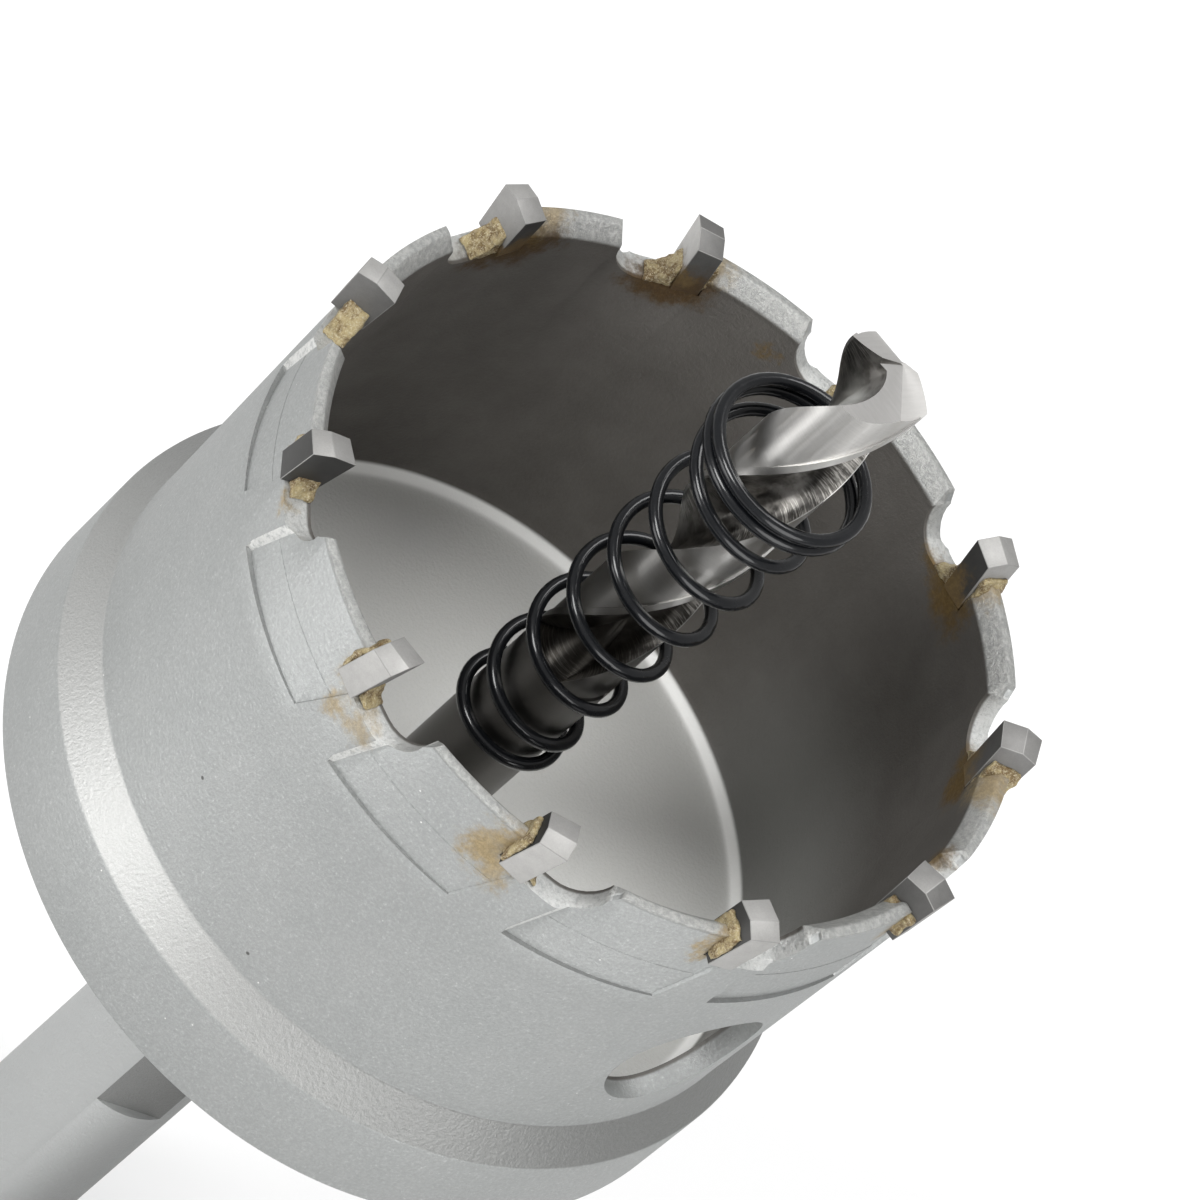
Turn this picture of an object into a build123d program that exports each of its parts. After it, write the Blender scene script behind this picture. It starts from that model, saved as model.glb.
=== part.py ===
from build123d import *
import os
from math import asin, cos, degrees, pi, radians, sin, tan

os.makedirs("parts", exist_ok=True)

# Carbide-tipped hole saw with a pilot drill and an ejector spring.
# Millimetres. The origin is the centre of the shank's end and +Z runs to the drill point.

# Cutter body, one turned piece of steel
barrel_radius = 24.4
barrel_taper = 0.45
wall_thickness = 1.8
cup_depth = 27.8
base_thickness = 6.0
floor_fillet = 1.3
flange_overhang = 1.25
flange_height = 7.0
flange_cone_height = 2.4
flange_edge = 0.3
neck_length = 5.8
neck_step = 0.25
shank_radius = 5.0
shank_edge = 0.6
tail_length = 18.2
flat_length = 24.0
flat_depth = 0.52
flat_count = 3
flat_angle = 148.8

# Rim, ground to a low ridge
rim_ridge_inset = 0.95
rim_outer_drop = 0.15
rim_inner_drop = 1.1

# Carbide tips; the brazing left some of them further ahead or standing higher than the rest
tooth_count = 11
tooth_shifts = (0, 0, 0, 0, 0, 0, 0, 0.8, 0.6, 0, 0.3)
tooth_lifts = (0.3, 0, 0, 0, 0, 0, 0, 0.35, 0.35, 0, 0.35)
tooth_thickness = 1.8
tooth_height = 4.3
tooth_stand = 1.5
tooth_outer_overhang = 0.5
tooth_inner_overhang = 0.5
tooth_rake = 10.0
tooth_relief = 6.0
tooth_crest_inset = 1.25
tooth_crest_drop = 0.3
tooth_side_clearance = 2.0
tooth_plan_clearance = 4.0

# Gullet ahead of each tip, and the braze that holds the tip
gullet_width = 3.8
gullet_floor_run = 1.9
gullet_rim_bevel = 0.5
braze_film = 0.1
braze_back_height = 1.3
bead_height = 1.9
bead_run = 1.6
bead_bulge = 0.25
bead_side_inset = 0.1

# Shallow relief milled in the outer wall between the tips
relief_height = 7.3
relief_depth = 0.4
relief_middle_depth = 0.25
relief_end_depth = 0.1
relief_start_angle = 2.0
relief_wall_lean = 17.0
relief_end_angle = 28.0

# Slug hole in the barrel wall
slug_hole_radius = 4.95
slug_hole_height = 11.75
slug_hole_angle = 176.6

# Pilot drill, held in the bore by a set screw
drill_radius = 3.0
drill_length = 75.0
drill_stand = 23.0
drill_fit = 0.02
drill_point_angle = 135.0
drill_web = 1.3
drill_helix_angle = 30.0
drill_lip_angle = 26.0
drill_lip_clearance = 15.0
flute_length = 34.0
flute_runout = 4.0
flute_open_angle = 95.0
flute_bow = 0.9
flute_levels = 26
margin_width = 0.5
margin_step = 0.12
gash_slope = 45.0
gash_lip_length = 1.1
gash_centre_gap = 0.1
gash_side_slope = 0.23
web_flat_share = 0.4

# Set screw in the base
screw_radius = 2.0
screw_length = 6.0
screw_fit = 0.02
screw_socket_across = 2.0
screw_socket_depth = 2.5
screw_flat_depth = 0.3
screw_angle = 291.4

# Ejector spring, wound left-handed and narrower at the rear
spring_wire = 0.85
spring_front_radius = 5.1
spring_middle_radius = 4.48
spring_grip = 0.12
spring_closed_gap = 0.08
spring_front_turns = 1.55
spring_open_turns = 6.2
spring_rear_turns = 1.05
spring_open_pitch = 4.6
spring_front_stand = 12.37
spring_start_angle = 17.8
spring_sections_per_turn = 16
spring_section_sides = 8

# Levels and radii that follow
flange_back = tail_length + flat_length + neck_length
floor_level = flange_back + base_thickness
rim_level = floor_level + cup_depth
flange_top = flange_back + flange_height
flange_radius = barrel_radius + flange_overhang
neck_radius = shank_radius + neck_step
bore_radius = barrel_radius - wall_thickness
tip_level = rim_level + drill_stand
drill_back = tip_level - drill_length
flute_start = tip_level - flute_length
land_level = rim_level + tooth_stand
tooth_outer = barrel_radius + tooth_outer_overhang
tooth_inner = bore_radius - tooth_inner_overhang
tooth_angles = [tooth * 360 / tooth_count + shift for tooth, shift in enumerate(tooth_shifts)]
slug_hole_level = floor_level + slug_hole_height
clear = 2.0


def radial_plane(angle, radius):
    """Plane square to a radius: its x runs round the axis, its y runs up."""
    turn = radians(angle)
    outwards = (cos(turn), sin(turn), 0)
    around = (-sin(turn), cos(turn), 0)
    return Plane(origin=(radius * cos(turn), radius * sin(turn), 0), x_dir=around, z_dir=outwards)


def side_plane(angle):
    """Plane through the axis: its x runs outwards, its y runs up."""
    turn = radians(angle)
    return Plane(origin=(0, 0, 0), x_dir=(cos(turn), sin(turn), 0), z_dir=(sin(turn), -cos(turn), 0))


def polar(radius, angle):
    return (radius * cos(radians(angle)), radius * sin(radians(angle)))


# The tip leans forwards by its rake. Seat points are counted from its front lower corner:
# ahead along the seat floor, and up along the cutting face.
rake = radians(tooth_rake)
front_foot = (-tooth_height * sin(rake), land_level - tooth_height * cos(rake))


def seat(ahead, up):
    return (
        front_foot[0] + ahead * cos(rake) + up * sin(rake),
        front_foot[1] - ahead * sin(rake) + up * cos(rake),
    )


with BuildPart() as cutter_body:
    with BuildSketch(Plane.XZ):
        with BuildLine():
            ridge_radius = barrel_radius - rim_ridge_inset
            Polyline(
                (0, floor_level),
                (0, 0),
                (shank_radius - shank_edge, 0),
                (shank_radius, shank_edge),
                (shank_radius, tail_length),
                (neck_radius, tail_length),
                (neck_radius, flange_back),
                (flange_radius - flange_edge, flange_back),
                (flange_radius, flange_back + flange_edge),
                (flange_radius, flange_top),
                (barrel_radius - barrel_taper, flange_top + flange_cone_height),
                (barrel_radius, rim_level - rim_outer_drop),
                (ridge_radius, rim_level),
                (bore_radius, rim_level - rim_inner_drop),
                (bore_radius, floor_level + floor_fillet),
            )
            RadiusArc(
                (bore_radius, floor_level + floor_fillet),
                (bore_radius - floor_fillet, floor_level),
                floor_fillet,
            )
            Line((bore_radius - floor_fillet, floor_level), (0, floor_level))
        make_face()
    revolve(axis=Axis.Z)

    # Three flats along the shank, ending short of the flange and of the round tail
    for flat in range(flat_count):
        with BuildSketch(radial_plane(flat_angle + flat * 360 / flat_count, neck_radius - flat_depth)):
            with Locations((0, tail_length + flat_length / 2)):
                Rectangle(2 * neck_radius, flat_length)
        extrude(amount=clear, mode=Mode.SUBTRACT)

    # Bore for the pilot drill, down into the shank
    with BuildSketch(Plane.XY.offset(drill_back)):
        Circle(drill_radius + drill_fit)
    extrude(amount=floor_level - drill_back + clear, mode=Mode.SUBTRACT)

    # Screw hole through the base, from the flange edge to the drill bore
    with BuildSketch(radial_plane(screw_angle, 0)):
        with Locations((0, flange_back + base_thickness / 2)):
            Circle(screw_radius + screw_fit)
    extrude(amount=flange_radius + clear, mode=Mode.SUBTRACT)

    # Slug hole through one side of the barrel
    with BuildSketch(radial_plane(slug_hole_angle, barrel_radius - 2 * clear - wall_thickness)):
        with Locations((0, slug_hole_level)):
            Circle(slug_hole_radius)
    extrude(amount=4 * clear + wall_thickness, mode=Mode.SUBTRACT)


def gullet_cutter(angle):
    """Tip seat and gullet in one slot, cut through the wall."""
    top = rim_level + clear
    back = -tooth_thickness - braze_film
    back_foot = seat(back, -braze_film)
    back_top = (back_foot[0] + (top - back_foot[1]) * tan(rake), top)
    floor_end = seat(gullet_floor_run, -braze_film)
    radius = (gullet_width - floor_end[0]) / (1 + sin(rake))
    wall_foot = (gullet_width, floor_end[1] + radius * cos(rake))
    with BuildPart() as cutter:
        with BuildSketch(radial_plane(angle, bore_radius - clear)):
            with BuildLine():
                Polyline(back_top, back_foot, floor_end)
                TangentArc(floor_end, wall_foot, tangent=(cos(rake), -sin(rake)))
                Polyline(
                    wall_foot,
                    (gullet_width, rim_level - gullet_rim_bevel),
                    (gullet_width + gullet_rim_bevel, rim_level),
                    (gullet_width + gullet_rim_bevel, top),
                    back_top,
                )
            make_face()
        extrude(amount=wall_thickness + 2 * clear)
    return cutter.part


def relief_cutter(angle):
    """Shallow relief: deepest at its leaning front wall, shallowest behind the next tip."""
    start = angle + relief_start_angle
    end = angle + relief_end_angle
    middle = (start + end) / 2
    outside = barrel_radius + clear
    deep = barrel_radius - relief_depth
    with BuildPart() as cutter:
        with BuildSketch(Plane.XY.offset(rim_level - rim_outer_drop - relief_height)):
            with BuildLine():
                ThreePointArc(
                    polar(deep, start),
                    polar(barrel_radius - relief_middle_depth, middle),
                    polar(barrel_radius - relief_end_depth, end),
                )
                Line(polar(barrel_radius - relief_end_depth, end), polar(outside, end))
                RadiusArc(polar(outside, end), polar(outside, start), -outside)
                Line(polar(outside, start), polar(deep, start))
            make_face()
        extrude(amount=relief_height + clear)
        lean = radians(relief_wall_lean)
        turn = radians(start)
        foot = polar(barrel_radius, start)
        wall = Plane(
            origin=(foot[0], foot[1], rim_level - rim_outer_drop - relief_height),
            x_dir=(cos(turn), sin(turn), 0),
            z_dir=(-sin(turn) * cos(lean), cos(turn) * cos(lean), -sin(lean)),
        )
        split(bisect_by=wall, keep=Keep.TOP)
    return cutter.part


with cutter_body:
    for angle in tooth_angles:
        add(gullet_cutter(angle), mode=Mode.SUBTRACT)
        add(relief_cutter(angle), mode=Mode.SUBTRACT)
cutter_body.part.label = "cutter_body"
export_step(cutter_body.part, "parts/cutter_body.step")


def carbide_tip(angle, lift):
    """Raked tip with a roof-shaped land, narrower towards its foot and its back."""
    land_front, top = seat(0, tooth_height + lift)
    back_foot = seat(-tooth_thickness, 0)
    land_back = tooth_thickness / cos(rake)
    relief_fall = land_back * tan(radians(tooth_relief))
    side_taper = tooth_height * tan(radians(tooth_side_clearance))
    plan_taper = land_back * tan(radians(tooth_plan_clearance))
    crest = tooth_outer - tooth_crest_inset
    low = front_foot[1] - clear
    with BuildPart() as tip:
        with BuildSketch(radial_plane(angle, tooth_inner)):
            with BuildLine():
                Polyline(
                    front_foot,
                    (land_front, top),
                    (land_front - land_back, top - relief_fall),
                    back_foot,
                    close=True,
                )
            make_face()
        extrude(amount=tooth_outer - tooth_inner)
        with BuildSketch(side_plane(angle)):
            with BuildLine():
                Polyline(
                    (tooth_inner + side_taper, low),
                    (tooth_outer - side_taper, low),
                    (tooth_outer, top - tooth_crest_drop),
                    (crest, top),
                    (tooth_inner, top - tooth_crest_drop),
                    close=True,
                )
            make_face()
        extrude(amount=tooth_height, both=True, mode=Mode.INTERSECT)
        plan = Plane(origin=(0, 0, low), x_dir=(cos(radians(angle)), sin(radians(angle)), 0), z_dir=(0, 0, 1))
        with BuildSketch(plan):
            with BuildLine():
                Polyline(
                    (tooth_inner, tooth_thickness),
                    (tooth_outer, tooth_thickness),
                    (tooth_outer, 0),
                    (tooth_outer - plan_taper, -land_back),
                    (tooth_outer - plan_taper, -2 * tooth_height),
                    (tooth_inner + plan_taper, -2 * tooth_height),
                    (tooth_inner + plan_taper, -land_back),
                    (tooth_inner, 0),
                    close=True,
                )
            make_face()
        extrude(amount=tooth_height + lift + 2 * clear, mode=Mode.INTERSECT)
    return tip.part


def braze_filler(angle):
    """Thin film under and behind the tip, ending ahead of it in a rounded bead."""
    back = -tooth_thickness - braze_film
    bead_top = seat(0, bead_height)
    bead_toe = seat(bead_run, -braze_film)
    with BuildPart() as filler:
        with BuildSketch(radial_plane(angle, bore_radius + bead_side_inset)):
            with BuildLine():
                SagittaArc(bead_toe, bead_top, bead_bulge)
                Polyline(
                    bead_top,
                    seat(0, 0),
                    seat(-tooth_thickness, 0),
                    seat(-tooth_thickness, braze_back_height),
                    seat(back, braze_back_height),
                    seat(back, -braze_film),
                    bead_toe,
                )
            make_face()
        extrude(amount=wall_thickness - relief_depth - 2 * bead_side_inset)
    return filler.part


for tooth, angle in enumerate(tooth_angles):
    tip = carbide_tip(angle, tooth_lifts[tooth])
    tip.label = f"tooth_{tooth + 1:02d}"
    export_step(tip, f"parts/{tip.label}.step")
    filler = braze_filler(angle)
    filler.label = f"braze_{tooth + 1:02d}"
    export_step(filler, f"parts/{filler.label}.step")


# Drill section: two flutes, and behind each cutting edge a margin and a relieved land
lip_offset = drill_web / 2
lip_angle = degrees(asin(lip_offset / drill_radius))
heel_angle = lip_angle + flute_open_angle
margin_angle = degrees(margin_width / drill_radius)
land_radius = drill_radius - margin_step
lead = 2 * pi * drill_radius / tan(radians(drill_helix_angle))
point_slope = tan(radians(90 - drill_point_angle / 2))


def drill_outline():
    """Corners of the section, once round: land, margin, cutting edge and flute on each side."""
    corners = []
    for side in (0, 180):
        land_start = heel_angle - 180
        land_turn = lip_angle - margin_angle - land_start
        for count in range(5):
            corners.append(polar(land_radius, side + land_start + land_turn * count / 4))
        corners.append(polar(drill_radius, side + lip_angle - margin_angle))
        corners.append(polar(drill_radius, side + lip_angle))
        web_end = (lip_offset * web_flat_share, lip_offset)
        heel = polar(land_radius, heel_angle)
        chord = (heel[0] - web_end[0], heel[1] - web_end[1])
        length = (chord[0] ** 2 + chord[1] ** 2) ** 0.5
        sign = 1 if side == 0 else -1
        middle = (drill_radius * cos(radians(lip_angle)) + web_end[0]) / 2
        corners.append((sign * middle, sign * lip_offset))
        for count in range(5):
            along = count / 5
            bow = 4 * flute_bow * along * (1 - along) / length
            flute_x = web_end[0] + chord[0] * along - chord[1] * bow
            flute_y = web_end[1] + chord[1] * along + chord[0] * bow
            corners.append((sign * flute_x, sign * flute_y))
    return corners


def drill_plane(level, side=0):
    """Section plane that turns with the flutes; at the point its x lies along a cutting edge."""
    turn = radians(drill_lip_angle + side - 360 * (tip_level - level) / lead)
    return Plane(origin=(0, 0, level), x_dir=(cos(turn), sin(turn), 0), z_dir=(0, 0, 1))


def sloping_plane(level, side, slope_x, slope_y, offset_y):
    """Plane over the drill that rises by these slopes along the x and y of its section plane."""
    base = drill_plane(tip_level, side)
    origin = base.from_local_coords((0, offset_y, level - tip_level))
    normal = base.from_local_coords((-slope_x, -slope_y, 1)) - base.origin
    return Plane(origin=origin, z_dir=normal)


def gash_cutter(side):
    """Notch that thins the web on the heel side of one cutting edge."""
    gash_rise = tan(radians(gash_slope))
    with BuildPart() as cutter:
        with BuildSketch(drill_plane(tip_level, side)):
            with BuildLine():
                Polyline(
                    (0, -gash_centre_gap),
                    (-gash_lip_length, -lip_offset),
                    (-gash_lip_length, -2 * drill_radius),
                    (2 * drill_radius, -2 * drill_radius),
                    (2 * drill_radius, -gash_centre_gap),
                    close=True,
                )
            make_face()
        extrude(amount=2 * drill_radius, both=True)
        floor = sloping_plane(tip_level - gash_centre_gap, side, gash_side_slope, gash_rise, -gash_centre_gap)
        split(bisect_by=floor, keep=Keep.TOP)
    return cutter.part


with BuildPart() as pilot_drill:
    outline = drill_outline()
    for count in range(flute_levels + 1):
        with BuildSketch(drill_plane(flute_start + flute_length * count / flute_levels)):
            with BuildLine():
                Polyline(outline, close=True)
            make_face()
    loft(ruled=True)
    with BuildSketch(Plane.XZ):
        with BuildLine():
            Polyline(
                (0, drill_back),
                (drill_radius, drill_back),
                (drill_radius, flute_start),
                (lip_offset, flute_start + flute_runout),
                (0, flute_start + flute_runout),
                close=True,
            )
        make_face()
    revolve(axis=Axis.Z)
    # Ground point: each flank falls away behind its cutting edge
    for side in (0, 180):
        lip_fall = tan(radians(drill_lip_clearance))
        split(bisect_by=sloping_plane(tip_level, side, -point_slope, lip_fall, 0), keep=Keep.BOTTOM)
    for side in (0, 180):
        add(gash_cutter(side), mode=Mode.SUBTRACT)
    # Flat where the set screw bears
    with BuildSketch(radial_plane(screw_angle, drill_radius - screw_flat_depth)):
        with Locations((0, flange_back + base_thickness / 2)):
            Rectangle(2 * drill_radius, 2 * screw_radius)
    extrude(amount=clear, mode=Mode.SUBTRACT)
pilot_drill.part.label = "pilot_drill"
export_step(pilot_drill.part, "parts/pilot_drill.step")


screw_seat = drill_radius - screw_flat_depth
with BuildPart() as set_screw:
    with BuildSketch(radial_plane(screw_angle, screw_seat)):
        with Locations((0, flange_back + base_thickness / 2)):
            Circle(screw_radius)
    extrude(amount=screw_length)
    with BuildSketch(radial_plane(screw_angle, screw_seat + screw_length - screw_socket_depth)):
        with Locations((0, flange_back + base_thickness / 2)):
            RegularPolygon(screw_socket_across / 2, 6, major_radius=False)
    extrude(amount=clear + screw_socket_depth, mode=Mode.SUBTRACT)
set_screw.part.label = "set_screw"
export_step(set_screw.part, "parts/set_screw.step")


# The wire's centre line goes down turn by turn: closed at the front, open, closed at the rear
spring_rear_radius = drill_radius + spring_grip + spring_wire / 2
closed_pitch = spring_wire + spring_closed_gap
spring_turns = spring_front_turns + spring_open_turns + spring_rear_turns


def eased(share):
    share = min(max(share, 0), 1)
    return share * share * (3 - 2 * share)


def wire_pitch(turn):
    opening = eased(turn - spring_front_turns + 0.3)
    closing = eased(spring_turns - spring_rear_turns - turn + 0.6)
    return closed_pitch + (spring_open_pitch - closed_pitch) * min(opening, closing)


def wire_radius(turn):
    necking = eased(turn - spring_front_turns + 0.2)
    tapering = (turn - spring_front_turns) / (spring_turns - spring_front_turns - 1.15)
    tapering = min(max(tapering, 0), 1)
    front = spring_front_radius + (spring_middle_radius - spring_front_radius) * necking
    return front + (spring_rear_radius - spring_middle_radius) * tapering


wire_points = []
fall = 0.0
step = 1 / spring_sections_per_turn
for count in range(round(spring_turns * spring_sections_per_turn) + 1):
    turn = count * step
    place = polar(wire_radius(turn), spring_start_angle + 360 * turn)
    wire_points.append(Vector(place[0], place[1], rim_level + spring_front_stand - fall))
    fall += wire_pitch(turn + step / 2) * step

# The wire is a chain of short straight runs with a many-sided section
with BuildPart() as ejector_spring:
    for count, point in enumerate(wire_points):
        before = wire_points[max(count - 1, 0)]
        after = wire_points[min(count + 1, len(wire_points) - 1)]
        outwards = Vector(point.X, point.Y, 0)
        with BuildSketch(Plane(origin=point, x_dir=outwards, z_dir=after - before)):
            RegularPolygon(spring_wire / 2, spring_section_sides, rotation=180 / spring_section_sides)
    loft(ruled=True)
ejector_spring.part.label = "ejector_spring"
export_step(ejector_spring.part, "parts/ejector_spring.step")
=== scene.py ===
import bpy
from math import asin, cos, degrees, hypot, pi, radians, sin, tan
from mathutils import Matrix, Vector


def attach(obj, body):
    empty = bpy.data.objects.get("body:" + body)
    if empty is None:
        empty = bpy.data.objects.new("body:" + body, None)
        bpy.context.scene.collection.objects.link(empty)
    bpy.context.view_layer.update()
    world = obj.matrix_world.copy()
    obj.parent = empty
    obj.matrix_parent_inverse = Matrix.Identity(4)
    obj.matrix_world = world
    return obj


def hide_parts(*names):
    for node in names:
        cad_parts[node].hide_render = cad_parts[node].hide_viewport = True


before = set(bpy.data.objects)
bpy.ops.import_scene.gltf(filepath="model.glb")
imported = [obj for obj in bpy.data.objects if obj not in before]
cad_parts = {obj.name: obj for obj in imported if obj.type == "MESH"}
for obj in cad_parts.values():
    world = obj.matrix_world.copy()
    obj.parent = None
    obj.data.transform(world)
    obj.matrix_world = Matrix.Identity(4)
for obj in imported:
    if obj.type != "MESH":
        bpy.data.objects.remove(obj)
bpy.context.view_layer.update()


# Cutter body. One bar of steel turned to a cup with a flange and a shank, then blasted grey.
# Its mouth is milled with eleven seats and gullets and a shallow relief ahead of each, and the
# bore for the drill runs down from the cup's floor. All sizes are in millimetres and degrees.
MM = 0.001
BARREL_RADIUS = 24.4
BORE_RADIUS = 22.6
FLOOR_LEVEL = 54.0
FLOOR_FILLET = 1.3
RIM_LEVEL = 81.8
RIM_RIDGE_RADIUS = 23.45
FLANGE_RADIUS = 25.65
FLANGE_BACK = 48.0
FLANGE_TOP = 55.0
CONE_TOP = 57.4
SHANK_RADIUS = 5.0
TAIL_LENGTH = 18.2
FLAT_LENGTH = 24.0
FLAT_DISTANCE = 4.45
FLAT_ANGLE = 148.8
DRILL_BACK = 29.8
DRILL_RADIUS = 3.0
ROUND_FACETS = 264
TOOTH_SHIFTS = (0, 0, 0, 0, 0, 0, 0, 0.8, 0.6, 0, 0.3)
TOOTH_LIFTS = (0.3, 0, 0, 0, 0, 0, 0, 0.35, 0.35, 0, 0.35)
TOOTH_ANGLES = [tooth * 360 / 11 + shift for tooth, shift in enumerate(TOOTH_SHIFTS)]
RAKE = radians(10)
TIP_THICKNESS = 1.8
TIP_HEIGHT = 4.3
LAND_LEVEL = RIM_LEVEL + 1.5
FRONT_FOOT = (-TIP_HEIGHT * sin(RAKE), LAND_LEVEL - TIP_HEIGHT * cos(RAKE))
BRAZE_FILM = 0.1
GULLET_WIDTH = 3.8
GULLET_FLOOR_RUN = 1.9
RELIEF_LEVEL = 74.35
RELIEF_DEPTH = 0.48
RELIEF_END_DEPTH = 0.27
RELIEF_START = 2.0
RELIEF_END = 25.8
RELIEF_START_LEAN = 17.0
RELIEF_END_LEAN = 22.0
SECOND_PASS_RISE = 2.9
SECOND_PASS_DEPTH = 0.035
SECOND_PASS_INSET = 0.25
TURNED_EDGE = 0.14
MILLED_EDGE = 0.07
SLUG_HOLE_RADIUS = 4.95
SLUG_HOLE_LEVEL = 65.75
SLUG_HOLE_ANGLE = 176.6
SCREW_LEVEL = 51.0
SCREW_ANGLE = 291.4
SCREW_BORE_RADIUS = 2.02


def only(piece):
    bpy.ops.object.select_all(action="DESELECT")
    piece.select_set(True)
    bpy.context.view_layer.objects.active = piece
    return piece


def settle(piece):
    """Puts the piece's place, turn and size into its mesh."""
    only(piece)
    bpy.ops.object.transform_apply(location=True, rotation=True, scale=True)
    return piece


def apply_last(piece):
    only(piece)
    bpy.ops.object.modifier_apply(modifier=piece.modifiers[-1].name)


def polar(radius, angle):
    return (radius * cos(radians(angle)), radius * sin(radians(angle)))


def seat(ahead, up):
    """Point in the raked seat, from the tip's front lower corner: its place ahead, and its level."""
    return (
        FRONT_FOOT[0] + ahead * cos(RAKE) + up * sin(RAKE),
        FRONT_FOOT[1] - ahead * sin(RAKE) + up * cos(RAKE),
    )


def draw_out(name, stations):
    """Round bar drawn out from station to station, each a radius and a level."""
    radius, level = stations[0]
    bpy.ops.object.select_all(action="DESELECT")
    bpy.ops.mesh.primitive_circle_add(
        vertices=ROUND_FACETS, radius=radius * MM, fill_type="NGON", location=(0, 0, level * MM)
    )
    bar = settle(bpy.context.object)
    bar.name = name
    bpy.ops.object.mode_set(mode="EDIT")
    bpy.ops.mesh.select_all(action="SELECT")
    for next_radius, next_level in stations[1:]:
        rise = (0, 0, (next_level - level) * MM)
        bpy.ops.mesh.extrude_region_move(TRANSFORM_OT_translate={"value": rise})
        grow = next_radius / radius
        bpy.ops.transform.resize(value=(grow, grow, 1), center_override=(0, 0, 0))
        radius, level = next_radius, next_level
    bpy.ops.mesh.select_all(action="SELECT")
    bpy.ops.mesh.normals_make_consistent(inside=False)
    bpy.ops.object.mode_set(mode="OBJECT")
    return bar


def outline_block(corners, run):
    """Flat outline through the corners, extruded along the run."""
    bpy.ops.object.select_all(action="DESELECT")
    bpy.ops.mesh.primitive_circle_add(vertices=len(corners), radius=MM, fill_type="NGON")
    block = bpy.context.object
    for vertex, corner in zip(block.data.vertices, corners):
        vertex.co = Vector(corner) * MM
    bpy.ops.object.mode_set(mode="EDIT")
    bpy.ops.mesh.select_all(action="SELECT")
    bpy.ops.mesh.extrude_region_move(TRANSFORM_OT_translate={"value": Vector(run) * MM})
    bpy.ops.mesh.select_all(action="SELECT")
    bpy.ops.mesh.normals_make_consistent(inside=False)
    bpy.ops.object.mode_set(mode="OBJECT")
    return block


def grind(piece, point, normal):
    """Takes off all that stands beyond a plane, and closes the cut."""
    only(piece)
    bpy.ops.object.mode_set(mode="EDIT")
    bpy.ops.mesh.select_all(action="SELECT")
    bpy.ops.mesh.bisect(
        plane_co=Vector(point) * MM, plane_no=normal, use_fill=True, clear_outer=True, threshold=1e-7
    )
    bpy.ops.object.mode_set(mode="OBJECT")


def turned_copy(piece, angle):
    """Copy with its own mesh, turned round the axis."""
    only(piece)
    bpy.ops.object.duplicate()
    copy = bpy.context.object
    copy.rotation_euler = (0, 0, radians(angle))
    return settle(copy)


def ring_of(block):
    """One block for each tooth, spaced round the axis and joined."""
    ring = [turned_copy(block, angle) for angle in TOOTH_ANGLES]
    bpy.data.objects.remove(block)
    only(ring[0])
    for other in ring[1:]:
        other.select_set(True)
    bpy.ops.object.join()
    return bpy.context.object


def cut(piece, tool):
    milling = piece.modifiers.new("milling", "BOOLEAN")
    milling.operation = "DIFFERENCE"
    milling.solver = "EXACT"
    milling.object = tool
    apply_last(piece)
    bpy.data.objects.remove(tool)


def round_over(piece, width, angle, segments=2):
    """Small rounding on every edge sharper than an angle."""
    edge = piece.modifiers.new("edge", "BEVEL")
    edge.width = width * MM
    edge.segments = segments
    edge.limit_method = "ANGLE"
    edge.angle_limit = radians(angle)
    apply_last(piece)


def cylinder_along(angle, start, end, radius, level, facets=96):
    """Round bar lying square to the axis, from one radius to another."""
    bpy.ops.object.select_all(action="DESELECT")
    middle = polar((start + end) / 2, angle)
    bpy.ops.mesh.primitive_cylinder_add(
        vertices=facets,
        radius=radius * MM,
        depth=(end - start) * MM,
        location=(middle[0] * MM, middle[1] * MM, level * MM),
        rotation=(0, radians(90), radians(angle)),
    )
    return settle(bpy.context.object)


def node(tree, kind, inputs=(), **settings):
    """New node; each input is given a value or the socket that feeds it."""
    made = tree.nodes.new(kind)
    for key, value in settings.items():
        setattr(made, key, value)
    for socket, value in dict(inputs).items():
        if isinstance(value, bpy.types.NodeSocket):
            tree.links.new(value, made.inputs[socket])
        else:
            made.inputs[socket].default_value = value
    return made


def finish(name, metallic, roughness):
    """New material: its tree, its shader, and the place of each point in millimetres."""
    material = bpy.data.materials.new(name)
    material.use_nodes = True
    tree = material.node_tree
    shader = tree.nodes["Principled BSDF"]
    shader.inputs["Metallic"].default_value = metallic
    shader.inputs["Roughness"].default_value = roughness
    coordinates = node(tree, "ShaderNodeTexCoord")
    place = node(
        tree, "ShaderNodeVectorMath", {0: coordinates.outputs["Object"], "Scale": 1000.0}, operation="SCALE"
    )
    return material, tree, shader, place.outputs[0]


def grain(tree, place, scale, detail=2.0, roughness=0.5):
    made = node(
        tree,
        "ShaderNodeTexNoise",
        {"Vector": place, "Scale": scale, "Detail": detail, "Roughness": roughness},
    )
    return made.outputs["Fac"]


def between(tree, value, low, high):
    """0 below the low value, 1 above the high one, eased between them; or the other way round."""
    made = node(
        tree,
        "ShaderNodeMapRange",
        {"Value": value, "From Min": low, "From Max": high},
        interpolation_type="SMOOTHSTEP",
    )
    return made.outputs["Result"]


def mixed(tree, share, first, second):
    made = node(tree, "ShaderNodeMix", {0: share, 6: first, 7: second}, data_type="RGBA")
    return made.outputs[2]


def maths(tree, operation, first, second=0.0):
    return node(tree, "ShaderNodeMath", {0: first, 1: second}, operation=operation).outputs[0]


def running(tree, share, first, last):
    """Runs from the first number to the last as the share runs from 0 to 1."""
    return node(tree, "ShaderNodeMapRange", {"Value": share, "To Min": first, "To Max": last}).outputs[0]


def far_along(tree, place, way):
    """How far each point lies along a direction."""
    made = node(tree, "ShaderNodeVectorMath", {0: place, 1: way}, operation="DOT_PRODUCT")
    return made.outputs["Value"]


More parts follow.
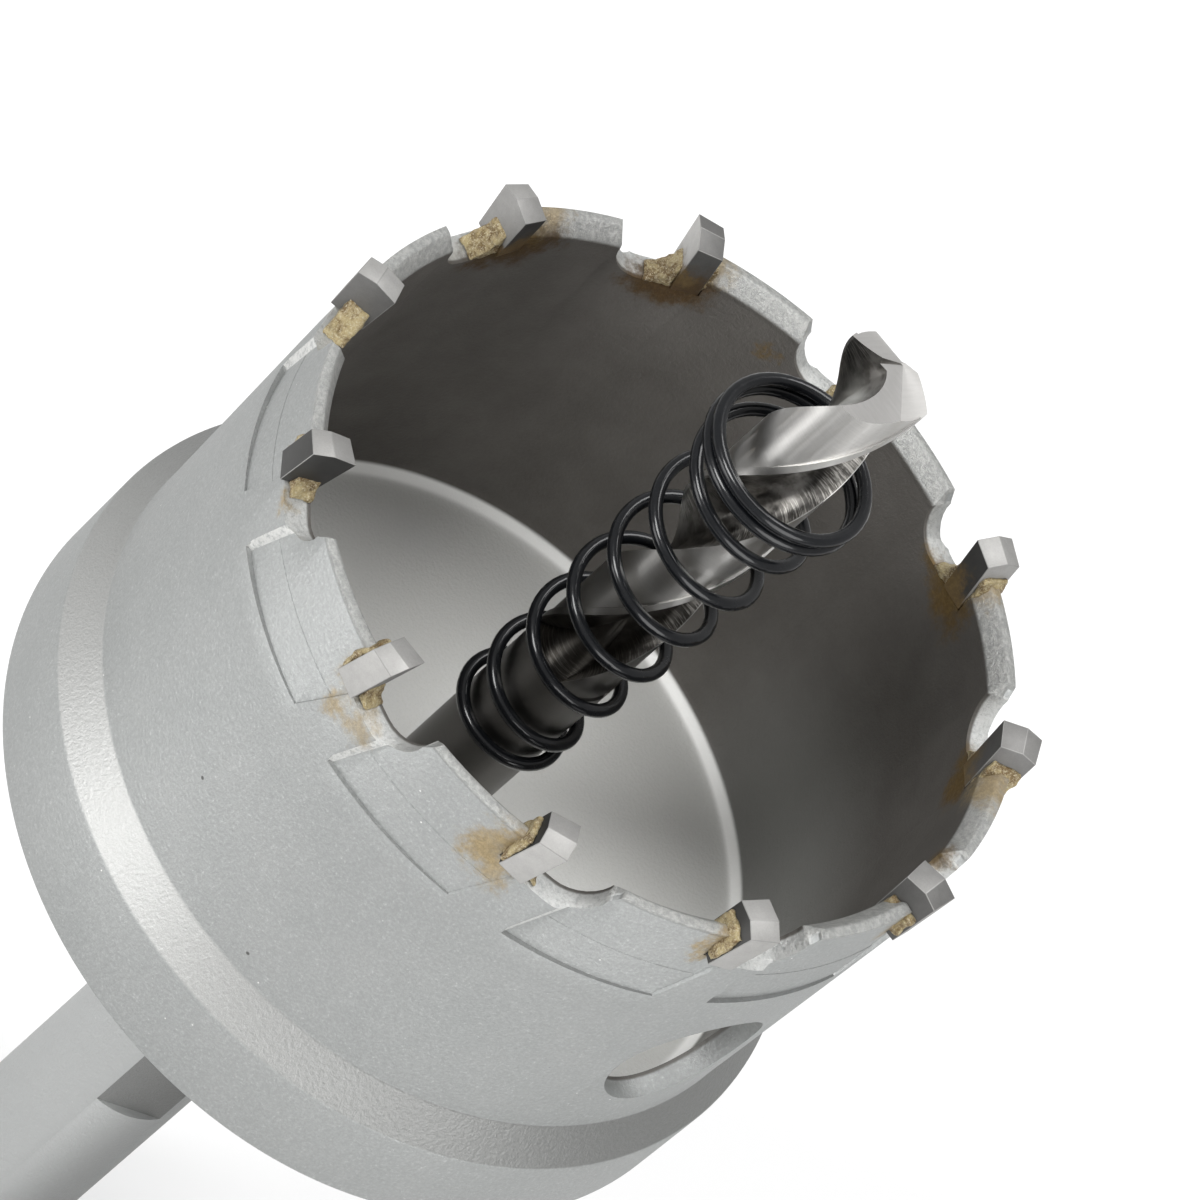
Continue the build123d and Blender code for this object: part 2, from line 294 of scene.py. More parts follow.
def out_from_axis(tree, place):
    """How far each point lies from the saw's axis."""
    flat_place = node(tree, "ShaderNodeVectorMath", {0: place, 1: (1, 1, 0)}, operation="MULTIPLY")
    made = node(tree, "ShaderNodeVectorMath", {0: flat_place.outputs[0]}, operation="LENGTH")
    return made.outputs["Value"]


def cells(tree, place, scale, share, radius):
    """Sparse round specks: a share of the cells of a pattern hold one each."""
    pattern = node(tree, "ShaderNodeTexVoronoi", {"Vector": place, "Scale": scale})
    chosen = node(tree, "ShaderNodeSeparateColor", {"Color": pattern.outputs["Color"]})
    spot = between(tree, pattern.outputs["Distance"], radius, radius * 0.5)
    return maths(tree, "MULTIPLY", spot, maths(tree, "LESS_THAN", chosen.outputs[0], share))


def relief_in(tree, shader, height, distance, strength=1.0):
    bump = node(tree, "ShaderNodeBump", {"Height": height, "Distance": distance * MM, "Strength": strength})
    tree.links.new(bump.outputs["Normal"], shader.inputs["Normal"])


def fit(piece, material, slot, *nodes, crease=32):
    """Gives the piece its finish, its body and the CAD nodes it stands for; the slot is not used."""
    only(piece)
    bpy.ops.object.shade_smooth_by_angle(angle=radians(crease))
    piece.data.materials.clear()
    piece.data.materials.append(material)
    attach(piece, "root")
    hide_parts(*nodes)


fillet = [
    (
        BORE_RADIUS - FLOOR_FILLET + FLOOR_FILLET * cos(radians(turn)),
        FLOOR_LEVEL + FLOOR_FILLET - FLOOR_FILLET * sin(radians(turn)),
    )
    for turn in range(0, 91, 15)
]
cutter_body = draw_out(
    "body_of_cutter",
    [
        (SHANK_RADIUS - 0.6, 0),
        (SHANK_RADIUS, 0.6),
        (SHANK_RADIUS, FLANGE_BACK - 0.5),
        (SHANK_RADIUS + 0.4, FLANGE_BACK),
        (FLANGE_RADIUS - 0.3, FLANGE_BACK),
        (FLANGE_RADIUS, FLANGE_BACK + 0.3),
        (FLANGE_RADIUS, FLANGE_TOP),
        (BARREL_RADIUS - 0.45, CONE_TOP),
        (BARREL_RADIUS - 0.15, RELIEF_LEVEL - 1.5),
        (BARREL_RADIUS, RIM_LEVEL - 0.15),
        (RIM_RIDGE_RADIUS, RIM_LEVEL),
        (BORE_RADIUS, RIM_LEVEL - 1.1),
        *fillet,
        (DRILL_RADIUS + 0.3, FLOOR_LEVEL),
        (DRILL_RADIUS + 0.02, FLOOR_LEVEL - 0.3),
        (DRILL_RADIUS + 0.02, DRILL_BACK),
    ],
)
round_over(cutter_body, TURNED_EDGE, 14)

# The clamping flat, milled along the shank
bpy.ops.object.select_all(action="DESELECT")
across, along = polar(FLAT_DISTANCE + 2, FLAT_ANGLE)
bpy.ops.mesh.primitive_cube_add(
    size=1,
    location=(across * MM, along * MM, (TAIL_LENGTH + FLAT_LENGTH / 2) * MM),
    rotation=(0, 0, radians(FLAT_ANGLE)),
    scale=(4 * MM, 12 * MM, FLAT_LENGTH * MM),
)
cut(cutter_body, settle(bpy.context.object))

# Gullets: the raked seat and the rounded gullet ahead of it are one slot through the wall
seat_back = seat(-TIP_THICKNESS - BRAZE_FILM, -BRAZE_FILM)
floor_end = seat(GULLET_FLOOR_RUN, -BRAZE_FILM)
slot_top = RIM_LEVEL + 2
gullet_radius = (GULLET_WIDTH - floor_end[0]) / (1 + sin(RAKE))
arc_centre = (GULLET_WIDTH - gullet_radius, floor_end[1] + gullet_radius * cos(RAKE))
gullet_outline = [
    (seat_back[0] + (slot_top - seat_back[1]) * tan(RAKE), slot_top),
    seat_back,
]
for share in range(9):
    turn = radians(-90 - 10 + share * 100 / 8)
    ahead = arc_centre[0] + gullet_radius * cos(turn)
    gullet_outline.append((ahead, arc_centre[1] + gullet_radius * sin(turn)))
gullet_outline += [
    (GULLET_WIDTH + 0.1, RIM_LEVEL - 0.8),
    (GULLET_WIDTH + 0.55, RIM_LEVEL),
    (GULLET_WIDTH + 0.55, slot_top),
]
gullet = outline_block(
    [(BORE_RADIUS - 2, across, level) for across, level in gullet_outline],
    (BARREL_RADIUS - BORE_RADIUS + 4, 0, 0),
)
cut(cutter_body, ring_of(gullet))


def relief_block(level, deeper, inset):
    """Block that mills one relief: deepest at its leaning front wall, with a low step at its end."""
    turns = [RELIEF_START + inset + count * 32 / 20 for count in range(21)]
    plan = []
    for turn in turns:
        fade = min((turn - RELIEF_START) / 24, 1)
        depth = RELIEF_DEPTH + (RELIEF_END_DEPTH - RELIEF_DEPTH) * fade + deeper
        plan.append((*polar(BARREL_RADIUS - depth, turn), level))
    plan += [(*polar(BARREL_RADIUS + 2, turn), level) for turn in reversed(turns)]
    block = outline_block(plan, (0, 0, RIM_LEVEL - level + 2))
    for turn, lean, way, opening in (
        (RELIEF_START + inset, RELIEF_START_LEAN, -1, 1.1),
        (RELIEF_END - inset, RELIEF_END_LEAN, 1, 0.3),
    ):
        around = radians(turn)
        slope = radians(lean)
        wall = Vector((-sin(around) * cos(slope), cos(around) * cos(slope), -sin(slope))) * way
        wall -= Vector((cos(around), sin(around), 0)) * opening
        grind(block, (*polar(BARREL_RADIUS - 0.3, turn), RELIEF_LEVEL), wall.normalized())
    return block


# Each relief is milled in two passes, the second a little deeper and higher up
cut(cutter_body, ring_of(relief_block(RELIEF_LEVEL, 0, 0)))
second_pass = relief_block(RELIEF_LEVEL + SECOND_PASS_RISE, SECOND_PASS_DEPTH, SECOND_PASS_INSET)
cut(cutter_body, ring_of(second_pass))

# Slug hole through the barrel, and the screw's hole from the flange's edge to the bore
beyond_body = 30
cut(cutter_body, cylinder_along(SLUG_HOLE_ANGLE, 18, beyond_body, SLUG_HOLE_RADIUS, SLUG_HOLE_LEVEL))
cut(cutter_body, cylinder_along(SCREW_ANGLE, 0.5, beyond_body, SCREW_BORE_RADIUS, SCREW_LEVEL, 48))
only(cutter_body)
bpy.ops.object.mode_set(mode="EDIT")
bpy.ops.mesh.select_all(action="SELECT")
bpy.ops.mesh.remove_doubles(threshold=0.01 * MM)
bpy.ops.object.mode_set(mode="OBJECT")
round_over(cutter_body, MILLED_EDGE, 38)

# How far each face was rubbed bright, partly as wear and partly as painted highlight, above nought, or
# painted dark as shade, below it
FLAT_PAINTED_SHADE = -0.65
LEDGE_PAINTED_SHADE = -0.42
SECOND_LEDGE_PAINTED_SHADE = -0.15
START_WALL_WEAR_AND_HIGHLIGHT = 0.8
GULLET_WEAR_AND_HIGHLIGHT = 0.5
flat_levels = (TAIL_LENGTH, TAIL_LENGTH + FLAT_LENGTH)
wear_highlight_and_shade = cutter_body.data.attributes.new("wear_highlight_and_shade", "FLOAT", "FACE")
for face in cutter_body.data.polygons:
    radius = hypot(face.center.x, face.center.y) / MM
    level = face.center.z / MM
    on_shank = radius < SHANK_RADIUS and flat_levels[0] < level < flat_levels[1]
    if on_shank and face.area > 20 * MM * MM:
        wear_highlight_and_shade.data[face.index].value = FLAT_PAINTED_SHADE
    if radius < BORE_RADIUS + 0.05 or level < RELIEF_LEVEL - 0.4:
        continue
    outward = (face.normal.x * face.center.x + face.normal.y * face.center.y) / (radius * MM)
    along_wall = (face.normal.y * face.center.x - face.normal.x * face.center.y) / (radius * MM)
    if radius > BARREL_RADIUS - 0.7 and face.normal.z > 0.5 and level < RELIEF_LEVEL + 3.4:
        wear_highlight_and_shade.data[face.index].value = LEDGE_PAINTED_SHADE if level < RELIEF_LEVEL + 0.5 else SECOND_LEDGE_PAINTED_SHADE
    elif radius > BARREL_RADIUS - 0.45 and along_wall > 0.4 and level < RIM_LEVEL - 1:
        wear_highlight_and_shade.data[face.index].value = START_WALL_WEAR_AND_HIGHLIGHT
    elif radius < BARREL_RADIUS - 0.35 and abs(outward) < 0.5 and level < RIM_LEVEL - 0.6:
        wear_highlight_and_shade.data[face.index].value = GULLET_WEAR_AND_HIGHLIGHT

steel, tree, shader, place = finish("blasted_steel", 0.75, 0.48)
radius_out = out_from_axis(tree, place)
level_up = node(tree, "ShaderNodeSeparateXYZ", {0: place}).outputs["Z"]
mottle = grain(tree, place, 0.22, 4.0, 0.6)
fine = grain(tree, place, 4.5, 4.0, 0.75)
colour = mixed(tree, mottle, (0.37, 0.383, 0.378, 1), (0.435, 0.443, 0.437, 1))
colour = mixed(tree, between(tree, fine, 0.40, 0.60), mixed(tree, 0.2, colour, (0.2, 0.2, 0.2, 1)), colour)
colour = mixed(tree, between(tree, fine, 0.58, 0.78), colour, (0.60, 0.61, 0.60, 1))
colour = mixed(tree, cells(tree, place, 0.55, 0.06, 0.09), colour, (0.12, 0.12, 0.115, 1))
colour = mixed(tree, cells(tree, place, 1.6, 0.03, 0.12), colour, (0.78, 0.78, 0.76, 1))

# Turned cone with a painted highlight on its lit side and painted shade on the other, and the paler shank
# with painted shade down one side
cone_band = maths(
    tree, "MULTIPLY", between(tree, level_up, FLANGE_TOP - 0.05, FLANGE_TOP + 0.1),
    between(tree, level_up, CONE_TOP + 0.1, CONE_TOP - 0.05),
)
# Painted highlight and shade: the cone is painted bright on the side towards the key lamp and dull on the
# far side
cone_lit_side = far_along(tree, place, (0.26, 0.97, 0))
cone_painted_shade = mixed(tree, fine, (0.195, 0.198, 0.193, 1), (0.275, 0.278, 0.271, 1))
cone_painted_highlight = mixed(tree, grain(tree, place, 7.0, 3.0, 0.7), (0.39, 0.395, 0.385, 1), (0.54, 0.54, 0.53, 1))
cone_colour = mixed(tree, between(tree, cone_lit_side, 8, 26), cone_painted_shade, cone_painted_highlight)
colour = mixed(tree, cone_band, colour, cone_colour)
shank_share = maths(tree, "MULTIPLY", between(tree, level_up, FLANGE_BACK - 0.3, FLANGE_BACK - 0.6), 0.75)
colour = mixed(tree, shank_share, colour, (0.58, 0.59, 0.585, 1))
# Painted shade: the shank is painted darker on the side turned from the light
shank_shaded_side = far_along(tree, place, (*polar(1, 196), 0))
painted_shank_shade = maths(tree, "MULTIPLY", shank_share, between(tree, shank_shaded_side, 0.5, 4.8))
colour = mixed(tree, painted_shank_shade, colour, (0.19, 0.193, 0.19, 1))

# Rim, ground after the seats were milled, and walls and edges rubbed bright with use and given a painted
# highlight
rim_slope = maths(
    tree, "MULTIPLY", between(tree, level_up, RIM_LEVEL - 1.5, RIM_LEVEL - 0.9),
    between(tree, radius_out, RIM_RIDGE_RADIUS + 0.15, RIM_RIDGE_RADIUS - 0.05),
)
rim_share = maths(tree, "MAXIMUM", rim_slope, between(tree, level_up, RIM_LEVEL - 0.4, RIM_LEVEL - 0.2))
crumbs = grain(tree, place, 3.0, 5.0, 0.8)
rim_colour = mixed(tree, between(tree, crumbs, 0.38, 0.66), (0.335, 0.34, 0.33, 1), (0.485, 0.485, 0.47, 1))
colour = mixed(tree, rim_share, colour, rim_colour)
wear_highlight_and_shade_share = node(tree, "ShaderNodeAttribute", attribute_name="wear_highlight_and_shade").outputs["Fac"]
# Start walls and gullet walls are rubbed bright, partly as wear and partly as a painted highlight
bright_wear_and_highlight = maths(tree, "MULTIPLY", between(tree, wear_highlight_and_shade_share, 0, 1), between(tree, crumbs, 0.30, 0.56))
colour = mixed(tree, bright_wear_and_highlight, colour, (0.74, 0.74, 0.72, 1))
# Painted shade: the shank's flat and the ledges of the reliefs are painted dark
colour = mixed(tree, between(tree, wear_highlight_and_shade_share, -0.05, -1), colour, (0.10, 0.10, 0.095, 1))

# Bore and floor of the cup
inside = maths(
    tree, "MULTIPLY", between(tree, radius_out, BORE_RADIUS + 0.35, BORE_RADIUS + 0.15),
    between(tree, level_up, FLOOR_LEVEL - 0.4, FLOOR_LEVEL),
)
below_rim = between(tree, level_up, RIM_LEVEL - 0.95, RIM_LEVEL - 1.2)
wall_grain = mixed(tree, 0.25, mottle, fine)
# The bore's wall is dark partly as oxide and partly as painted shade inside the cup
wall_colour = mixed(tree, wall_grain, (0.086, 0.079, 0.071, 1), (0.195, 0.185, 0.172, 1))
# Painted light: the bore's wall is painted paler low down on the side that faces the key lamp
wall_lit_side = far_along(tree, place, (-0.7, -0.7, 0))
painted_wall_light = maths(tree, "MULTIPLY", between(tree, wall_lit_side, 13, 23), between(tree, level_up, 72, 59))
wall_colour = mixed(tree, painted_wall_light, wall_colour, (0.28, 0.28, 0.268, 1))
floor_colour = mixed(tree, fine, (0.52, 0.52, 0.50, 1), (0.62, 0.62, 0.60, 1))
# Painted highlight: the floor's fillet ring is painted bright
painted_ring_highlight = between(tree, level_up, FLOOR_LEVEL + 0.05, FLOOR_LEVEL + 0.25)
floor_colour = mixed(tree, painted_ring_highlight, floor_colour, (0.88, 0.88, 0.86, 1))
wall_share = between(tree, level_up, FLOOR_LEVEL + 0.55, FLOOR_LEVEL + 0.85)
inner_colour = mixed(tree, wall_share, floor_colour, wall_colour)
inside = maths(tree, "MULTIPLY", inside, below_rim)
colour = mixed(tree, inside, colour, inner_colour)
tree.links.new(running(tree, inside, 0.48, 0.58), shader.inputs["Roughness"])
near_floor = between(tree, level_up, FLOOR_LEVEL + 0.85, FLOOR_LEVEL + 0.55)
floor_share = maths(tree, "MULTIPLY", inside, near_floor)
tree.links.new(running(tree, floor_share, 0.75, 0.2), shader.inputs["Metallic"])


def stained(tree, place, colour, tint, spots):
    """Stains with ragged edges: each spot has an angle, radius and level, a reach and a strength."""
    wander = node(
        tree, "ShaderNodeTexNoise", {"Vector": place, "Scale": 0.9, "Detail": 5.0, "Roughness": 0.7}
    )
    wander = node(
        tree, "ShaderNodeVectorMath", {0: wander.outputs["Color"], 1: (0.5, 0.5, 0.5)}, operation="SUBTRACT"
    )
    wander = node(tree, "ShaderNodeVectorMath", {0: wander.outputs[0], "Scale": 4.0}, operation="SCALE")
    strayed = node(tree, "ShaderNodeVectorMath", {0: place, 1: wander.outputs[0]}, operation="ADD")
    grains = grain(tree, place, 4.0, 4.0, 0.8)
    pale_tint = [channel * 1.4 for channel in tint[:3]] + [1]
    tint = mixed(tree, between(tree, grains, 0.4, 0.65), tint, pale_tint)
    for angle, radius, level, reach, strength in spots:
        spot = (*polar(radius, angle), level)
        gap = node(tree, "ShaderNodeVectorMath", {0: strayed.outputs[0], 1: spot}, operation="DISTANCE")
        nearness = between(tree, gap.outputs["Value"], reach * 1.15, reach * 0.2)
        colour = mixed(tree, maths(tree, "MULTIPLY", nearness, strength), colour, tint)
    return colour


# Flux and braze stains round the seats, inside the wall and on the outside
DARK_STAIN = (0.078, 0.047, 0.019, 1)
BROWN_STAIN = (0.14, 0.092, 0.035, 1)
GOLD_STAIN = (0.30, 0.232, 0.128, 1)
dark_places = (
    (353.5, 22.6, 79.6, 2.3, 0.9),
    (356.5, 22.6, 79.0, 2.0, 0.9),
    (0.5, 22.6, 78.8, 1.6, 0.8),
    (323.6, 22.6, 79.6, 2.3, 0.95),
    (326.5, 22.6, 78.6, 2.1, 0.9),
    (330.0, 22.6, 78.6, 1.7, 0.85),
    (349.5, 22.6, 80.6, 1.5, 0.8),
)
brown_places = (
    (354.0, 22.6, 80.6, 1.2, 0.75),
    (357.5, 22.6, 79.8, 1.0, 0.7),
    (325.8, 22.6, 80.4, 1.1, 0.7),
    (329.5, 22.6, 79.6, 1.0, 0.7),
    (257.9, 22.5, 78.9, 2.4, 0.95),
    (261.0, 22.5, 79.4, 2.5, 0.95),
    (264.4, 22.6, 79.8, 1.7, 0.9),
    (227.5, 22.5, 79.0, 2.2, 0.95),
    (224.6, 22.6, 78.2, 1.8, 0.9),
    (231.0, 22.6, 80.0, 1.9, 0.85),
    (206.0, 22.6, 80.4, 1.3, 0.75),
    (202.0, 22.6, 80.6, 1.5, 0.75),
    (198.0, 22.6, 80.9, 1.2, 0.7),
    (306.8, 22.6, 78.5, 0.9, 0.7),
)
gold_places = (
    (66.0, 24.4, 79.3, 1.1, 0.8),
    (94.0, 24.4, 79.3, 1.3, 0.7),
    (95.5, 24.4, 77.2, 1.3, 0.75),
    (99.6, 24.4, 78.2, 1.5, 0.65),
    (123.0, 24.4, 78.8, 1.9, 0.95),
    (124.6, 24.4, 80.6, 1.9, 0.95),
    (126.2, 24.4, 77.9, 1.4, 0.7),
    (157.0, 24.4, 79.7, 1.3, 0.9),
    (158.0, 24.4, 81.0, 1.3, 0.85),
    (191.0, 24.4, 80.0, 1.6, 0.85),
    (350.5, 23.9, 81.6, 1.9, 0.75),
    (321.5, 23.6, 81.4, 1.7, 0.7),
    (256.5, 23.6, 81.4, 1.6, 0.75),
    (221.5, 23.2, 81.3, 2.2, 0.85),
)
colour = stained(tree, place, colour, DARK_STAIN, dark_places)
colour = stained(tree, place, colour, BROWN_STAIN, brown_places)
colour = stained(tree, place, colour, GOLD_STAIN, gold_places)
tree.links.new(colour, shader.inputs["Base Color"])
rubbed = maths(tree, "ADD", rim_share, maths(tree, "ABSOLUTE", wear_highlight_and_shade_share))
peel = grain(tree, place, 3.8, 3.0, 0.6)
rough_height = maths(tree, "ADD", maths(tree, "MULTIPLY", fine, 0.7), maths(tree, "MULTIPLY", peel, 0.8))
torn_height = maths(tree, "MULTIPLY", rubbed, maths(tree, "MULTIPLY", crumbs, 2.6))
relief_in(tree, shader, maths(tree, "ADD", rough_height, torn_height), 0.085, 0.65)
fit(cutter_body, steel, "body_steel", "cutter_body")


# Carbide tips. Eleven sintered blocks, ground with a raked face, side clearance and a land with
# two slopes, and brazed into the seats with a third of their height standing above the rim.
TIP_OUTER = BARREL_RADIUS + 0.5
TIP_INNER = BORE_RADIUS - 0.5
TIP_CREST = TIP_OUTER - 1.25
CREST_DROP = 0.3
LAND_FALL = tan(radians(6))
SIDE_FALL = tan(radians(2))
PLAN_FALL = tan(radians(4))
TIP_EDGE = 0.04

bpy.ops.object.select_all(action="DESELECT")
bpy.ops.mesh.primitive_cube_add(
    size=1,
    location=((TIP_OUTER + TIP_INNER) / 2 * MM, -TIP_THICKNESS * MM, (LAND_LEVEL - TIP_HEIGHT / 2) * MM),
    scale=((TIP_OUTER - TIP_INNER + 1) * MM, 4 * TIP_THICKNESS * MM, 2 * TIP_HEIGHT * MM),
)
tip_blank = settle(bpy.context.object)
tip_back = seat(-TIP_THICKNESS, 0)
grind(tip_blank, (0, 0, LAND_LEVEL), (0, cos(RAKE), -sin(RAKE)))
grind(tip_blank, (0, *tip_back), (0, -cos(RAKE), sin(RAKE)))
grind(tip_blank, (0, *FRONT_FOOT), (0, -sin(RAKE), -cos(RAKE)))
grind(tip_blank, (TIP_CREST, 0, LAND_LEVEL), (CREST_DROP / (TIP_OUTER - TIP_CREST), -LAND_FALL, 1))
grind(tip_blank, (TIP_CREST, 0, LAND_LEVEL), (-CREST_DROP / (TIP_CREST - TIP_INNER), -LAND_FALL, 1))
grind(tip_blank, (TIP_OUTER, 0, LAND_LEVEL), (1, -PLAN_FALL, -SIDE_FALL))
grind(tip_blank, (TIP_INNER, 0, LAND_LEVEL), (-1, -PLAN_FALL, -SIDE_FALL))
round_over(tip_blank, TIP_EDGE, 8)

# Painted light and shade of each ground face, one value each: front, outer and inner slope of the land,
# outer and inner side, back
FACE_PAINTED_LIGHT = (
    (0.27, 0.33, 0.26, 0.28, 0.05, 0.20),
    (0.13, 0.36, 0.32, 0.20, 0.10, 0.20),
    (0.035, 0.30, 0.25, 0.05, 0.10, 0.20),
    (0.15, 0.34, 0.29, 0.37, 0.10, 0.20),
    (0.18, 0.34, 0.28, 0.37, 0.10, 0.03),
    (0.18, 0.31, 0.33, 0.35, 0.10, 0.05),
    (0.12, 0.14, 0.22, 0.28, 0.10, 0.09),
    (0.06, 0.22, 0.19, 0.50, 0.08, 0.16),
    (0.07, 0.30, 0.34, 0.38, 0.05, 0.30),
    (0.20, 0.30, 0.35, 0.30, 0.10, 0.20),
    (0.46, 0.15, 0.15, 0.30, 0.09, 0.20),
)
EDGE_PAINTED_LIGHT = 0.27


def face_kind(normal):
    """Which of the six ground faces this is, or none for a rounded edge."""
    ways = (
        (0, 1, -0.18), (0.24, -0.1, 1), (-0.19, -0.1, 1),
        (1, -0.07, -0.03), (-1, -0.07, -0.03), (0, -1, 0.18),
    )
    for kind, way in enumerate(ways):
        if normal.angle(Vector(way)) < radians(4):
            return kind
    return None


carbide, tree, shader, place = finish("ground_carbide", 0.4, 0.48)
shader.inputs["Specular IOR Level"].default_value = 0.3
painted_tone = node(tree, "ShaderNodeAttribute", attribute_name="painted_tone").outputs["Fac"]
fine = grain(tree, place, 9.0, 4.0, 0.8)
patches = grain(tree, place, 1.3, 3.0, 0.6)
grain_and_painted_light = maths(tree, "ADD", maths(tree, "MULTIPLY", fine, 0.35), maths(tree, "MULTIPLY", patches, 0.3))
# Each tip's colour is its faces' painted light and shade, broken up by grain
grain_and_painted_light = maths(tree, "MULTIPLY", painted_tone, maths(tree, "ADD", grain_and_painted_light, 0.68))
tint = node(tree, "ShaderNodeVectorMath", {0: (1.0, 0.985, 0.955), "Scale": grain_and_painted_light}, operation="SCALE")
colour = stained(tree, place, tint.outputs[0], DARK_STAIN, dark_places)
colour = stained(tree, place, colour, BROWN_STAIN, brown_places)
tree.links.new(colour, shader.inputs["Base Color"])
relief_in(tree, shader, fine, 0.02, 0.4)
for tooth, angle in enumerate(TOOTH_ANGLES):
    tip = turned_copy(tip_blank, 0)
    tip.name = f"tip_{tooth + 1:02d}"
    painted_tones = tip.data.attributes.new("painted_tone", "FLOAT", "FACE")
    for face in tip.data.polygons:
        kind = face_kind(face.normal)
        painted_tones.data[face.index].value = EDGE_PAINTED_LIGHT if kind is None else FACE_PAINTED_LIGHT[tooth][kind]
    for vertex in tip.data.vertices:
        if vertex.co.z > (LAND_LEVEL - 1) * MM:
            vertex.co += Vector((0, sin(RAKE), cos(RAKE))) * TOOTH_LIFTS[tooth] * MM
    tip.rotation_euler = (0, 0, radians(angle))
    fit(settle(tip), carbide, "carbide", f"tooth_{tooth + 1:02d}")
bpy.data.objects.remove(tip_blank)


# Braze. Silver-brass solder run under and behind each tip, with a grainy golden bead where it
# pooled in the gullet's corner and a thin line where it came up at the rim behind the tip.
BEAD_INNER = BORE_RADIUS - 0.1
BEAD_OUTER = BARREL_RADIUS - RELIEF_DEPTH + 0.15
REAR_OUTER = BARREL_RADIUS + 0.15
BEAD_SIZES = (
    (1.8, 2.1, 2.3), (2.0, 1.6, 2.2), (0.95, 1.0, 2.2), (1.0, 0.9, 2.8), (0.9, 0.7, 3.0), (0.9, 0.9, 2.95),
    (0.9, 1.1, 2.2), (1.5, 2.3, 2.85), (1.7, 2.3, 2.95), (1.5, 1.6, 2.6), (1.8, 2.0, 2.6),
)


def braze_block(inner, outer, outline):
    corners = [(inner, *seat(ahead, up)) for ahead, up in outline]
    return outline_block(corners, (outer - inner, 0, 0))


def hollow_bead(run, height):
    """Side view of a hollow fillet from the tip's face down to the floor of the seat."""
    outline = [(-0.05, -BRAZE_FILM), (-0.05, height)]
    for turn in (75, 60, 45, 30, 15):
        outline.append((run * (1.1 - sin(radians(turn))), height * (1.1 - cos(radians(turn)))))
    return outline + [(run, -BRAZE_FILM)]


def rear_line(height):
    """Side view of the line that came up behind the tip."""
    back = -TIP_THICKNESS
    outline = [(back + 0.05, 0.3), (back + 0.05, height), (back - 0.3, height - 0.1)]
    return outline + [(back - 0.4, 2.0), (back - 0.2, 0.3)]


braze_metal, tree, shader, place = finish("golden_braze", 0.6, 0.42)
mottle = grain(tree, place, 1.1, 4.0, 0.7)
fine = grain(tree, place, 8.0, 4.0, 0.85)
colour = mixed(tree, between(tree, mottle, 0.38, 0.60), (0.15, 0.095, 0.038, 1), (0.40, 0.325, 0.175, 1))
colour = mixed(tree, between(tree, fine, 0.47, 0.68), colour, (0.60, 0.545, 0.40, 1))
tree.links.new(colour, shader.inputs["Base Color"])
relief_in(tree, shader, fine, 0.1, 0.85)
lumps = bpy.data.textures.new("lumps", "CLOUDS")
lumps.noise_scale = 0.8 * MM
lumps.noise_depth = 2
for tooth, angle in enumerate(TOOTH_ANGLES):
    run, height, rear_height = BEAD_SIZES[tooth]
    bead = braze_block(BEAD_INNER, BEAD_OUTER, hollow_bead(run, height))
    rear = braze_block(BEAD_INNER, REAR_OUTER, rear_line(rear_height))
    only(bead)
    rear.select_set(True)
    bpy.ops.object.join()
    bead.name = f"bead_{tooth + 1:02d}"
    bead.rotation_euler = (0, 0, radians(angle))
    settle(bead)
    fuse = bead.modifiers.new("fuse", "REMESH")
    fuse.mode = "VOXEL"
    fuse.voxel_size = 0.055 * MM
    apply_last(bead)
    soften = bead.modifiers.new("soften", "SMOOTH")
    soften.iterations = 50
    apply_last(bead)
    swell = bead.modifiers.new("swell", "DISPLACE")
    swell.texture = lumps
    swell.texture_coords = "LOCAL"
    swell.strength = 0.34 * MM
    swell.mid_level = 0.5
    apply_last(bead)
    fit(bead, braze_metal, "braze_metal", f"braze_{tooth + 1:02d}", crease=180)


# Pilot drill. Ground high-speed steel, bright on its lands: two helical flutes, a narrow margin
# behind each cutting edge, and a point with two relieved flanks and a gashed web.
TIP_LEVEL = RIM_LEVEL + 23.0
FLUTE_LENGTH = 34.0
FLUTE_START = TIP_LEVEL - FLUTE_LENGTH
LIP_OFFSET = 0.65
MARGIN_WIDTH = 0.5
LAND_RADIUS = DRILL_RADIUS - 0.12
HELIX_ANGLE = 30
LEAD = 2 * pi * DRILL_RADIUS / tan(radians(HELIX_ANGLE))
FLUTE_SPAN = 95
FLUTE_BOW = 0.4
POINT_ANGLE = 135
LIP_CLEARANCE = 15
GASH_LEAN = 0.23
GASH_RISE = tan(radians(45))
LIP_DIRECTION = 26.0
lip_angle = degrees(asin(LIP_OFFSET / DRILL_RADIUS))
heel_angle = lip_angle + FLUTE_SPAN
margin_angle = degrees(MARGIN_WIDTH / DRILL_RADIUS)
half_section = []
land_start = heel_angle - 180
land_turn = lip_angle - margin_angle - land_start
for count in range(13):
    half_section.append(polar(LAND_RADIUS, land_start + land_turn * count / 12))
for count in range(4):
    half_section.append(polar(DRILL_RADIUS, lip_angle - margin_angle * (1 - count / 3)))
web_end = (LIP_OFFSET * 0.4, LIP_OFFSET)
heel = polar(LAND_RADIUS, heel_angle)
chord = (heel[0] - web_end[0], heel[1] - web_end[1])
chord_length = hypot(*chord)
lip_end = polar(DRILL_RADIUS, lip_angle)
for count in range(1, 4):
    share = count / 4
    half_section.append((lip_end[0] * (1 - share) + web_end[0] * share, LIP_OFFSET))
for count in range(14):
    along = count / 14
    bow = 4 * FLUTE_BOW * along * (1 - along) / chord_length
    half_section.append(
        (web_end[0] + chord[0] * along - chord[1] * bow, web_end[1] + chord[1] * along + chord[0] * bow)
    )
section = half_section + [(-across, -up) for across, up in half_section]
flute_turn = 360 * FLUTE_LENGTH / LEAD
bpy.ops.object.select_all(action="DESELECT")
bpy.ops.mesh.primitive_circle_add(vertices=len(section), radius=MM, fill_type="NOTHING")
